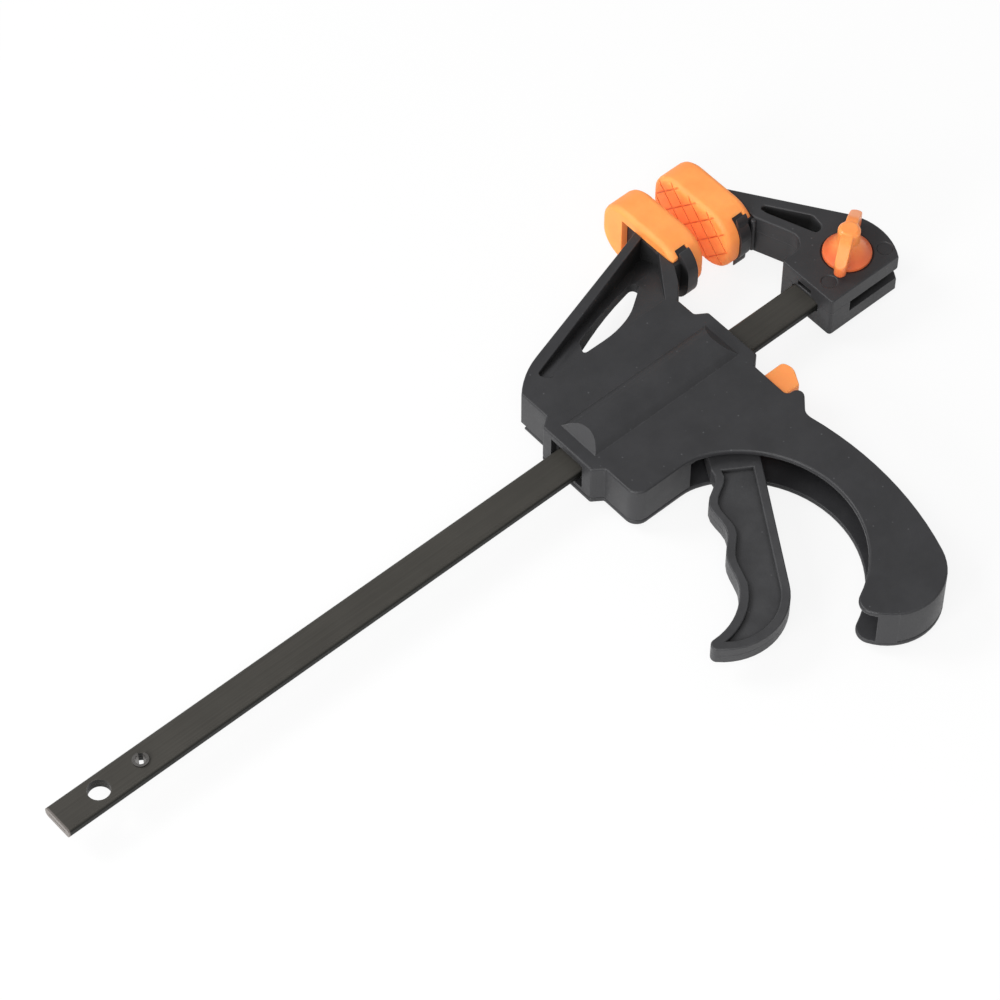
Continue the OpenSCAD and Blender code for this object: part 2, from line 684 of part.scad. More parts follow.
module release_button() color([1, 0.45, 0.12]) translate([nose_x, 0, 0]) difference() {
    translate([0, 0, -button_half]) linear_extrude(2 * button_half) polygon(rounded([
        [button_back, button_y[0], 0.6], [button_front - 2.8, button_y[0], 1],
        [button_front + 0.3, button_y[0] + 5.6, 4], [button_front - 0.8, button_y[1], 1.6],
        [button_back, button_y[1], 0.6]]));
    // slot that grips the end of the brake plate
    translate([brake_pivot[0], brake_pivot[1], -3]) rotate([0, 0, brake_tilt])
        translate([-brake_t / 2 - 0.05, -brake_len - 0.1, 0]) cube([brake_t + 0.1, 12, 6]);
}

// Coil spring about the bar's middle line between x0 and x1
module coil(x0, x1, turns) {
    sides = 8;
    per_turn = 16;
    r = spring_r - wire_d / 2;
    n = turns * per_turn;
    rings = [for (i = [0:n]) let (
        a = 360 * i / per_turn,
        end = min(1, min(i, n - i) / per_turn),
        x = x0 + wire_d / 2 + (x1 - x0 - wire_d) * coil_rise(i / n, 1 / turns))
        [for (k = [0:sides - 1]) let (b = 360 * k / sides)
            [x + wire_d / 2 * sin(b), (r + wire_d / 2 * cos(b)) * cos(a),
                (r + wire_d / 2 * cos(b)) * sin(a)]]];
    polyhedron(
        points = [for (ring = rings) each ring],
        faces = concat(
            [[for (k = [sides - 1:-1:0]) k]],
            [for (i = [0:n - 1], k = [0:sides - 1]) let (j = (k + 1) % sides)
                [i * sides + k, i * sides + j, (i + 1) * sides + j, (i + 1) * sides + k]],
            [[for (k = [0:sides - 1]) n * sides + k]]),
        convexity = 10);
}

// Share of the spring's length reached at u, with nearly flat first and last turns
function coil_rise(u, flat) =
    let (f = min(flat, 0.3), lift = 0.12)
    u < f ? lift * u / f * f / (2 * f) :
    u > 1 - f ? 1 - lift * (1 - u) / f * f / (2 * f) :
    lift / 2 + (1 - lift) * (u - f) / (1 - 2 * f);

module drive_spring() color([0.6, 0.6, 0.6])
    translate([nose_x, 0, 0]) coil(seat_x + 0.2, drive_back - 0.2, 6);

module brake_spring() color([0.6, 0.6, 0.6])
    translate([nose_x, 0, 0]) coil(mid_wall_x + mid_wall_t + 0.2,
        brake_pivot[0] - brake_t / 2 / cos(brake_tilt)
            + (brake_pivot[1] - spring_r) * tan(brake_tilt) - 0.3, 3);

bar();
stop_pin();
fixed_jaw();
fixed_pad();
release_knob();
knob_pin();
jaw_body();
cover();
cover_screws();
moving_pad();
trigger_pin();
drive_spring();
brake_spring();
trigger();
drive_plate_rear();
drive_plate_front();
brake_plate();
release_button();
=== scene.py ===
"""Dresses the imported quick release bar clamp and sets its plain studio.

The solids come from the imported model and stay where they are. Moulded parts
get rounded edges, the soft caps get their crosshatched faces, the screws get
their cross recesses, and every surface gets its finish.
"""

import logging
import math
from dataclasses import dataclass, field
from enum import Enum

import bpy
from mathutils import Matrix, Vector


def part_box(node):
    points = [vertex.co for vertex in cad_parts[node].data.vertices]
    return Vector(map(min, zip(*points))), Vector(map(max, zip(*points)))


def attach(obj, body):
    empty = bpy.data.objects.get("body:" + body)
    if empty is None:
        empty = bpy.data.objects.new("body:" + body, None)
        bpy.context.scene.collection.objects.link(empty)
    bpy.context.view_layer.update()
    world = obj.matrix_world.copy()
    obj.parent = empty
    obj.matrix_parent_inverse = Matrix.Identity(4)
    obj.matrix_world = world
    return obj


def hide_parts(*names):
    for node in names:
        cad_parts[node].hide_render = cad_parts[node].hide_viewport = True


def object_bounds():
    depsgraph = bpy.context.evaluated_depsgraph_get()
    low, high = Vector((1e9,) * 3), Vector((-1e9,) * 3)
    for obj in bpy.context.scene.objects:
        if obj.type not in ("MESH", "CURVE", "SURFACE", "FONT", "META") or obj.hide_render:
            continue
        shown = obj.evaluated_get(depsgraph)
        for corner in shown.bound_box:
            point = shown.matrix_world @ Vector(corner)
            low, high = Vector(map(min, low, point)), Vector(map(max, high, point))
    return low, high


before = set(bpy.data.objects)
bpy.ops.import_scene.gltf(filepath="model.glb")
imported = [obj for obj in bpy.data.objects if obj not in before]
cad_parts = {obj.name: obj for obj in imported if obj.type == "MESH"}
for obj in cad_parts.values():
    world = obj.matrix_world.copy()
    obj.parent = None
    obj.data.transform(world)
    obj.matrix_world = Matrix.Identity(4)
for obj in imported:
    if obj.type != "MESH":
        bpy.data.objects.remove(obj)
CAD_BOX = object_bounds()
MM = 0.001
WHOLE = (0.0, 1.0)
LOG = logging.getLogger("bar_clamp")

Pair = tuple[float, float]
Triple = tuple[float, float, float]
Socket = bpy.types.NodeSocket


class Slot(Enum):
    """Names of record slots for the dressed pieces."""

    BRIGHT_STEEL = "bright_steel"
    BLACK_PLASTIC = "black_plastic"
    ORANGE_PLASTIC = "orange_plastic"
    ORANGE_RUBBER = "orange_rubber"


class Body(Enum):
    """Bodies that the dressed pieces ride on."""

    BAR = "bar"
    KNOB = "knob"
    CARRIAGE = "carriage"
    TRIGGER = "trigger"
    BRAKE = "brake"


class Finish(Enum):
    """Names of the finishes."""

    CASING = "casing_plastic"
    JAW = "jaw_plastic"
    TRIGGER = "trigger_plastic"
    BLACK_STRIP = "black_steel_strip"
    BRIGHT_PARTS = "bright_steel_parts"
    ROLLED_PIN = "rolled_steel_pin"
    ORANGE_PARTS = "orange_plastic_parts"
    ORANGE_KNOB = "orange_knob_plastic"
    SOFT_CAPS = "orange_soft_caps"


# ---------- Shader groups ----------


class ShaderSheet:
    """A node tree with short ways to add and join its nodes."""

    COLUMN_WIDTH = 40

    def __init__(self, tree: bpy.types.NodeTree) -> None:
        """Keeps the tree.

        Args:
            tree: Tree of a material, a world or a group.
        """
        self.tree = tree
        self.column = 0

    def add(self, kind: str, **values: object) -> bpy.types.Node:
        """Adds a node and sets its properties and inputs.

        Args:
            kind: Blender's name of the node type.
            **values: Properties by name, or inputs by name with spaces as underscores.

        Returns:
            The new node.
        """
        node = self.tree.nodes.new(kind)
        node.location = (self.column * self.COLUMN_WIDTH, 0)
        self.column += 1
        for key, value in values.items():
            if hasattr(node, key):
                setattr(node, key, value)
            else:
                node.inputs[key.replace("_", " ")].default_value = value
        return node

    def join(self, source: Socket, target: Socket) -> None:
        """Links an output to an input."""
        self.tree.links.new(source, target)

    def math(self, operation: str, first: Socket | float, second: Socket | float = 0.0) -> Socket:
        """Adds a Math node.

        Args:
            operation: Name of the operation.
            first: Socket or number of the first input.
            second: Socket or number of the second input.

        Returns:
            The result's socket.
        """
        node = self.add("ShaderNodeMath", operation=operation)
        for place, value in enumerate((first, second)):
            if isinstance(value, Socket):
                self.join(value, node.inputs[place])
            else:
                node.inputs[place].default_value = value
        return node.outputs[0]

    def spread(self, value: Socket, span: Pair, onto: Pair = WHOLE) -> Socket:
        """Maps a value from one span onto another, held at its ends.

        Args:
            value: Socket to map.
            span: Start and end of the first span.
            onto: Start and end of the second span.

        Returns:
            The result's socket.
        """
        node = self.add("ShaderNodeMapRange")
        self.join(value, node.inputs["Value"])
        for name, number in zip(("From Min", "From Max", "To Min", "To Max"), (*span, *onto)):
            node.inputs[name].default_value = number
        return node.outputs["Result"]

    def blend(self, factor: Socket, first: Socket | Triple, second: Socket | Triple) -> Socket:
        """Blends two colours by a mask.

        Args:
            factor: Mask from 0 to 1.
            first: Colour or colour socket at 0.
            second: Colour or colour socket at 1.

        Returns:
            The colour's socket.
        """
        node = self.add("ShaderNodeMix", data_type="RGBA")
        self.join(factor, node.inputs[0])
        for place, value in ((6, first), (7, second)):
            if isinstance(value, Socket):
                self.join(value, node.inputs[place])
            else:
                node.inputs[place].default_value = (*value, 1.0)
        return node.outputs[2]


def shader_group(name: str, takes: tuple[str, ...], gives: tuple[str, ...]) -> tuple[
        ShaderSheet, bpy.types.Node, bpy.types.Node]:
    """Makes a shader group that takes a Place and numbers, and gives numbers.

    Args:
        name: Name of the group.
        takes: Names of the numbers that it takes.
        gives: Names of the numbers that it gives.

    Returns:
        The sheet of the group, its input node and its output node.
    """
    tree = bpy.data.node_groups.new(name, "ShaderNodeTree")
    tree.interface.new_socket("Place", in_out="INPUT", socket_type="NodeSocketVector")
    for direction, names in (("INPUT", takes), ("OUTPUT", gives)):
        for socket in names:
            tree.interface.new_socket(socket, in_out=direction, socket_type="NodeSocketFloat")
    sheet = ShaderSheet(tree)
    return sheet, sheet.add("NodeGroupInput"), sheet.add("NodeGroupOutput")


@dataclass(frozen=True)
class MouldedGrain:
    """Spark-eroded grain of moulded parts, slow mottling and sparse pale specks."""

    fine_detail: float = 3.0
    fine_roughness: float = 0.6
    fine_span: Pair = (0.3, 0.7)
    slow_scale: float = 95.0
    slow_detail: float = 4.0
    slow_roughness: float = 0.65
    slow_span: Pair = (0.35, 0.68)
    speck_scale: float = 620.0
    speck_chance: Pair = (0.93, 0.94)
    speck_rim: Pair = (0.2, 0.1)

    def build(self) -> None:
        """Builds the group, which gives a height and the masks of mottling and specks."""
        sheet, taken, given = shader_group(
            "moulded_grain", ("Grain scale",), ("Height", "Mottle", "Speck"))
        fine = sheet.add("ShaderNodeTexNoise", Detail=self.fine_detail,
                         Roughness=self.fine_roughness)
        sheet.join(taken.outputs["Place"], fine.inputs["Vector"])
        sheet.join(taken.outputs["Grain scale"], fine.inputs["Scale"])
        slow = sheet.add("ShaderNodeTexNoise", Scale=self.slow_scale, Detail=self.slow_detail,
                         Roughness=self.slow_roughness)
        sheet.join(taken.outputs["Place"], slow.inputs["Vector"])
        sheet.join(sheet.spread(fine.outputs[0], self.fine_span), given.inputs["Height"])
        sheet.join(sheet.spread(slow.outputs[0], self.slow_span), given.inputs["Mottle"])
        dots = sheet.add("ShaderNodeTexVoronoi", Scale=self.speck_scale)
        sheet.join(taken.outputs["Place"], dots.inputs["Vector"])
        sparse = sheet.add("ShaderNodeSeparateColor")
        sheet.join(dots.outputs["Color"], sparse.inputs[0])
        chosen = sheet.spread(sparse.outputs[0], self.speck_chance)
        small = sheet.spread(dots.outputs["Distance"], self.speck_rim)
        sheet.join(sheet.math("MULTIPLY", chosen, small), given.inputs["Speck"])


@dataclass(frozen=True)
class CavityShade:
    """Mask for painted shade in hollows, slots and grooves, which little light reaches."""

    samples: int = 6
    open_span: Pair = (0.78, 0.15)

    def build(self) -> None:
        """Builds the group, which gives a mask that is 1 in the depth."""
        sheet, taken, given = shader_group("cavity_shade", ("Reach",), ("Mask",))
        open_sky = sheet.add("ShaderNodeAmbientOcclusion", samples=self.samples, only_local=True)
        sheet.join(taken.outputs["Reach"], open_sky.inputs["Distance"])
        sheet.join(sheet.spread(open_sky.outputs["AO"], self.open_span), given.inputs["Mask"])


@dataclass(frozen=True)
class EdgeWearAndSheen:
    """Mask along edges for rubbed wear and for painted edge highlights, broken by noise."""

    samples: int = 4
    turn_span: Pair = (0.995, 0.9)
    noise_scale: float = 420.0
    noise_detail: float = 4.0
    noise_span: Pair = (0.38, 0.66)
    kept_share: Pair = (0.15, 1.0)

    def build(self) -> None:
        """Builds the group, which gives a mask that is 1 along sharp edges."""
        sheet, taken, given = shader_group("edge_wear_and_sheen", ("Width",), ("Mask",))
        rounded = sheet.add("ShaderNodeBevel", samples=self.samples)
        sheet.join(taken.outputs["Width"], rounded.inputs["Radius"])
        plain = sheet.add("ShaderNodeNewGeometry")
        dot = sheet.add("ShaderNodeVectorMath", operation="DOT_PRODUCT")
        sheet.join(rounded.outputs[0], dot.inputs[0])
        sheet.join(plain.outputs["Normal"], dot.inputs[1])
        edge = sheet.spread(dot.outputs["Value"], self.turn_span)
        noise = sheet.add("ShaderNodeTexNoise", Scale=self.noise_scale, Detail=self.noise_detail)
        sheet.join(taken.outputs["Place"], noise.inputs["Vector"])
        broken = sheet.spread(noise.outputs[0], self.noise_span, self.kept_share)
        sheet.join(sheet.math("MULTIPLY", edge, broken), given.inputs["Mask"])


@dataclass(frozen=True)
class BrushedLines:
    """Fine lines of drawn or brushed steel, over slow clouds of tone."""

    line_scale: Triple = (30.0, 2600.0, 2600.0)
    line_detail: float = 3.0
    cloud_scale: float = 70.0
    cloud_detail: float = 5.0
    cloud_roughness: float = 0.6
    share: float = 0.5
    tone_span: Pair = (0.38, 0.64)

    def build(self) -> None:
        """Builds the group, which gives the lines' height and a mask of tone."""
        sheet, taken, given = shader_group("brushed_lines", (), ("Height", "Tone"))
        stretch = sheet.add("ShaderNodeMapping")
        stretch.inputs["Scale"].default_value = self.line_scale
        sheet.join(taken.outputs["Place"], stretch.inputs["Vector"])
        lines = sheet.add("ShaderNodeTexNoise", Scale=1.0, Detail=self.line_detail)
        sheet.join(stretch.outputs[0], lines.inputs["Vector"])
        cloud = sheet.add("ShaderNodeTexNoise", Scale=self.cloud_scale, Detail=self.cloud_detail,
                          Roughness=self.cloud_roughness)
        sheet.join(taken.outputs["Place"], cloud.inputs["Vector"])
        sheet.join(lines.outputs[0], given.inputs["Height"])
        both = sheet.math("ADD", sheet.math("MULTIPLY", lines.outputs[0], self.share),
                          sheet.math("MULTIPLY", cloud.outputs[0], self.share))
        sheet.join(sheet.spread(both, self.tone_span), given.inputs["Tone"])


@dataclass(frozen=True)
class PartingLine:
    """Fine witness line where the two halves of a mould met."""

    upright_span: Pair = (0.3, 0.1)

    def build(self) -> None:
        """Builds the group, which gives a mask that is 1 along the plane z = Level."""
        sheet, taken, given = shader_group("parting_line", ("Level", "Half width"), ("Mask",))
        split = sheet.add("ShaderNodeSeparateXYZ")
        sheet.join(taken.outputs["Place"], split.inputs[0])
        off = sheet.math(
            "ABSOLUTE", sheet.math("SUBTRACT", split.outputs["Z"], taken.outputs["Level"]))
        inside = sheet.math(
            "SUBTRACT", 1.0, sheet.math("DIVIDE", off, taken.outputs["Half width"]))
        side = sheet.add("ShaderNodeNewGeometry")
        facing = sheet.add("ShaderNodeSeparateXYZ")
        sheet.join(side.outputs["Normal"], facing.inputs[0])
        upright = sheet.spread(sheet.math("ABSOLUTE", facing.outputs["Z"]), self.upright_span)
        line = sheet.math("MULTIPLY", sheet.math("MAXIMUM", inside, 0.0), upright)
        sheet.join(line, given.inputs["Mask"])


# ---------- Finishes ----------


class FinishBase:
    """Shared steps of the finishes."""

    @staticmethod
    def start(title: Finish) -> tuple[bpy.types.Material, ShaderSheet, bpy.types.Node, Socket]:
        """Makes an empty material.

        Args:
            title: Name of the finish.

        Returns:
            The material, its sheet, its shader and its place vector.
        """
        material = bpy.data.materials.new(title.value)
        material.use_nodes = True
        material.node_tree.nodes.clear()
        sheet = ShaderSheet(material.node_tree)
        place = sheet.add("ShaderNodeTexCoord").outputs["Object"]
        shader = sheet.add("ShaderNodeBsdfPrincipled")
        output = sheet.add("ShaderNodeOutputMaterial")
        sheet.join(shader.outputs[0], output.inputs["Surface"])
        return material, sheet, shader, place

    @staticmethod
    def effect(sheet: ShaderSheet, group: str, place: Socket, **values: float) -> bpy.types.Node:
        """Places a shared group in a material.

        Args:
            sheet: Sheet of the material.
            group: Name of the group.
            place: Vector that the group reads.
            **values: The group's own values, with spaces in their names as underscores.

        Returns:
            The group's node.
        """
        node = sheet.add("ShaderNodeGroup", node_tree=bpy.data.node_groups[group])
        sheet.join(place, node.inputs["Place"])
        for key, value in values.items():
            node.inputs[key.replace("_", " ")].default_value = value
        return node

    @staticmethod
    def emboss(sheet: ShaderSheet, shader: bpy.types.Node, height: Socket,
               strength: float, depth: float) -> None:
        """Gives a shader the relief of a height.

        Args:
            sheet: Sheet of the material.
            shader: Shader that gets the relief.
            height: Socket of the height.
            strength: Share of the relief that shows.
            depth: Depth of the relief, in metres.
        """
        bump = sheet.add("ShaderNodeBump", Strength=strength, Distance=depth)
        sheet.join(height, bump.inputs["Height"])
        sheet.join(bump.outputs[0], shader.inputs["Normal"])


@dataclass(frozen=True)
class MouldedPlastic(FinishBase):
    """Black plastic from a spark-eroded mould; paler edges, partly rubbed, partly painted
    highlight.
    """

    title: Finish
    dark: Triple = (0.0305, 0.0305, 0.0325)
    light: Triple = (0.036, 0.036, 0.0385)
    # Pale colour on edges and specks; on edges it is partly wear and partly a painted highlight.
    rubbed_and_sheen: Triple = (0.1, 0.1, 0.105)
    edge_width: float = 0.0005
    edge_share: float = 0.5
    speck_share: float = 0.6
    # Colour painted into hollows, slots and grooves as their shade.
    depth: Triple = (0.004, 0.004, 0.004)
    cavity_reach: float = 0.012
    cavity_dulling: float = 0.35
    roughness: Pair = (0.36, 0.5)
    specular: float = 0.36
    grain_scale: float = 2600.0
    grain_depth: float = 0.000035
    grain_strength: float = 0.55
    parting_level: float | None = None
    parting_half: float = 0.00018
    parting_height: float = 6.0

    def material(self) -> bpy.types.Material:
        """Builds the material."""
        material, sheet, shader, place = self.start(self.title)
        grain = self.effect(sheet, "moulded_grain", place, Grain_scale=self.grain_scale)
        wear_and_sheen = self.effect(sheet, "edge_wear_and_sheen", place, Width=self.edge_width)
        cavity = self.effect(sheet, "cavity_shade", place, Reach=self.cavity_reach)
        base = sheet.blend(grain.outputs["Mottle"], self.dark, self.light)
        # Painted highlight and wear: edges and specks are paled.
        rubbed_and_sheen = sheet.math("MAXIMUM",
                            sheet.math("MULTIPLY", wear_and_sheen.outputs["Mask"], self.edge_share),
                            sheet.math("MULTIPLY", grain.outputs["Speck"], self.speck_share))
        pale_edged = sheet.blend(rubbed_and_sheen, base, self.rubbed_and_sheen)
        # Painted shade: hollows are darkened towards near black.
        sheet.join(sheet.blend(cavity.outputs["Mask"], pale_edged, self.depth),
                   shader.inputs["Base Color"])
        rough = sheet.spread(grain.outputs["Mottle"], WHOLE, self.roughness)
        dull = sheet.math("MULTIPLY", cavity.outputs["Mask"], self.cavity_dulling)
        sheet.join(sheet.math("MINIMUM", sheet.math("ADD", rough, dull), 1.0),
                   shader.inputs["Roughness"])
        height = grain.outputs["Height"]
        if self.parting_level is not None:
            line = self.effect(sheet, "parting_line", place, Level=self.parting_level,
                               Half_width=self.parting_half)
            raised = sheet.math("MULTIPLY", line.outputs["Mask"], self.parting_height)
            height = sheet.math("ADD", height, raised)
        self.emboss(sheet, shader, height, self.grain_strength, self.grain_depth)
        shader.inputs["Specular IOR Level"].default_value = self.specular
        return material


@dataclass(frozen=True)
class BlackenedSteel(FinishBase):
    """Blackened strip steel: satin faces, sides painted darker as shade, rubbed edges and a bare
    cut end.
    """

    title: Finish
    dark: Triple = (0.051, 0.0482, 0.0428)
    light: Triple = (0.06, 0.0567, 0.0502)
    # Colour painted on the sides as their shade.
    side: Triple = (0.009, 0.0092, 0.0075)
    level_span: Pair = (0.4, 0.8)
    bare: Triple = (0.3, 0.27, 0.25)
    edge_width: float = 0.0003
    edge_share: float = 0.35
    end_x: float = -0.0135
    end_reach: float = 0.0003
    end_share: float = 0.8
    roughness: Pair = (0.34, 0.46)
    metallic: Pair = (0.1, 0.9)
    specular: float = 0.18
    line_depth: float = 0.00002
    line_strength: float = 0.25

    def material(self) -> bpy.types.Material:
        """Builds the material."""
        material, sheet, shader, place = self.start(self.title)
        lines = self.effect(sheet, "brushed_lines", place)
        wear_and_sheen = self.effect(sheet, "edge_wear_and_sheen", place, Width=self.edge_width)
        split = sheet.add("ShaderNodeSeparateXYZ")
        sheet.join(place, split.inputs[0])
        end = sheet.spread(split.outputs["X"], (self.end_x + self.end_reach, self.end_x))
        pale_edged = sheet.math("MAXIMUM",
                          sheet.math("MULTIPLY", wear_and_sheen.outputs["Mask"], self.edge_share),
                          sheet.math("MULTIPLY", end, self.end_share))
        facing = sheet.add("ShaderNodeSeparateXYZ")
        sheet.join(sheet.add("ShaderNodeNewGeometry").outputs["Normal"], facing.inputs[0])
        # Painted shade: faces whose normal is near level get the darker side colour.
        level = sheet.spread(sheet.math("ABSOLUTE", facing.outputs["Z"]), self.level_span)
        face = sheet.blend(lines.outputs["Tone"], self.dark, self.light)
        base = sheet.blend(level, self.side, face)
        sheet.join(sheet.blend(pale_edged, base, self.bare), shader.inputs["Base Color"])
        sheet.join(sheet.spread(lines.outputs["Tone"], WHOLE, self.roughness),
                   shader.inputs["Roughness"])
        sheet.join(sheet.spread(pale_edged, WHOLE, self.metallic), shader.inputs["Metallic"])
        shader.inputs["Specular IOR Level"].default_value = self.specular
        self.emboss(sheet, shader, lines.outputs["Height"], self.line_strength, self.line_depth)
        return material


@dataclass(frozen=True)
class BrightSteel(FinishBase):
    """Plain steel with fine drawn lines."""

    title: Finish
    dark: Triple = (0.42, 0.42, 0.43)
    light: Triple = (0.62, 0.62, 0.63)
    roughness: Pair = (0.24, 0.38)
    line_depth: float = 0.00002
    line_strength: float = 0.2

    def material(self) -> bpy.types.Material:
        """Builds the material."""
        material, sheet, shader, place = self.start(self.title)
        lines = self.effect(sheet, "brushed_lines", place)
        sheet.join(sheet.blend(lines.outputs["Tone"], self.dark, self.light),
                   shader.inputs["Base Color"])
        sheet.join(sheet.spread(lines.outputs["Tone"], WHOLE, self.roughness),
                   shader.inputs["Roughness"])
        shader.inputs["Metallic"].default_value = 1.0
        self.emboss(sheet, shader, lines.outputs["Height"], self.line_strength, self.line_depth)
        return material


@dataclass(frozen=True)
class OrangePolymer(FinishBase):
    """Orange plastic or rubber with a daylight pigment, and a painted glow that lifts its faces
    in shade.

    Where it is thin over black it looks deeper, and its grooves get painted shade.
    """

    title: Finish
    deep: Triple
    pale: Triple
    roughness: Pair = (0.38, 0.5)
    glow: float = 0.25
    glow_reach: float = 0.004
    glow_radius: Triple = (1.0, 0.35, 0.12)
    painted_glow: float = 0.12
    painted_glow_colour: Triple = (1.0, 0.2, 0.09)
    # Colour painted into the grooves as their shade.
    groove: Triple | None = None
    groove_shade_reach: float = 0.0012
    thin: Triple | None = None
    thin_span: Pair = WHOLE
    grain_scale: float = 1800.0
    grain_depth: float = 0.00002
    grain_strength: float = 0.35

    def material(self) -> bpy.types.Material:
        """Builds the material."""
        material, sheet, shader, place = self.start(self.title)
        grain = self.effect(sheet, "moulded_grain", place, Grain_scale=self.grain_scale)
        base = sheet.blend(grain.outputs["Mottle"], self.deep, self.pale)
        if self.thin is not None:
            split = sheet.add("ShaderNodeSeparateXYZ")
            sheet.join(place, split.inputs[0])
            thick = sheet.spread(split.outputs["Z"], self.thin_span)
            base = sheet.blend(thick, self.thin, base)
        # Painted shade in the grooves.
        if self.groove is not None:
            cavity = self.effect(sheet, "cavity_shade", place, Reach=self.groove_shade_reach)
            base = sheet.blend(cavity.outputs["Mask"], base, self.groove)
        sheet.join(base, shader.inputs["Base Color"])
        sheet.join(sheet.spread(grain.outputs["Mottle"], WHOLE, self.roughness),
                   shader.inputs["Roughness"])
        # Painted glow: a steady emission for the pigment's fluorescence, which also lifts the
        # faces in shade.
        shader.inputs["Emission Color"].default_value = (*self.painted_glow_colour, 1.0)
        shader.inputs["Emission Strength"].default_value = self.painted_glow
        shader.inputs["Subsurface Weight"].default_value = self.glow
        shader.inputs["Subsurface Radius"].default_value = self.glow_radius
        shader.inputs["Subsurface Scale"].default_value = self.glow_reach
        self.emboss(sheet, shader, grain.outputs["Height"], self.grain_strength,
                    self.grain_depth)
        return material


@dataclass
class FinishShelf:
    """All finishes of the clamp, built once."""

    made: dict[Finish, bpy.types.Material] = field(default_factory=dict)

    def build(self) -> None:
        """Builds the shared groups and every material."""
        for group in (MouldedGrain(), CavityShade(), EdgeWearAndSheen(), BrushedLines(), PartingLine()):
            group.build()
        for finish in (
                MouldedPlastic(Finish.CASING),
                MouldedPlastic(Finish.JAW, parting_level=0.0018),
                MouldedPlastic(Finish.TRIGGER, grain_scale=1500.0, grain_depth=0.00006,
                               dark=(0.038, 0.038, 0.04), light=(0.05, 0.05, 0.0525),
                               parting_level=0.0, cavity_reach=0.003),
                BlackenedSteel(Finish.BLACK_STRIP),
                BrightSteel(Finish.BRIGHT_PARTS),
                BrightSteel(Finish.ROLLED_PIN, dark=(0.19, 0.182, 0.174),
                            light=(0.27, 0.26, 0.25)),
                OrangePolymer(Finish.ORANGE_PARTS, deep=(0.92, 0.31, 0.075),
                              pale=(0.96, 0.355, 0.095)),
                OrangePolymer(Finish.ORANGE_KNOB, deep=(0.92, 0.3, 0.07),
                              pale=(0.96, 0.345, 0.09), roughness=(0.26, 0.36),
                              thin=(0.66, 0.135, 0.04), thin_span=(0.0095, 0.0145)),
                OrangePolymer(Finish.SOFT_CAPS, deep=(0.94, 0.3, 0.06),
                              pale=(0.98, 0.365, 0.085), roughness=(0.5, 0.62), glow=0.3,
                              painted_glow=0.17, groove=(0.38, 0.048, 0.012))):
            self.made[finish.title] = finish.material()

    def put_on(self, obj: bpy.types.Object, finish: Finish) -> None:
        """Gives a piece one finish all over.

        Args:
            obj: The piece.
            finish: Name of the finish.
        """
        material = self.made[finish]
        if len(obj.material_slots) == 0:
            obj.data.materials.append(material)
        for slot in obj.material_slots:
            slot.material = material


# ---------- Bench: steps that every piece goes through ----------


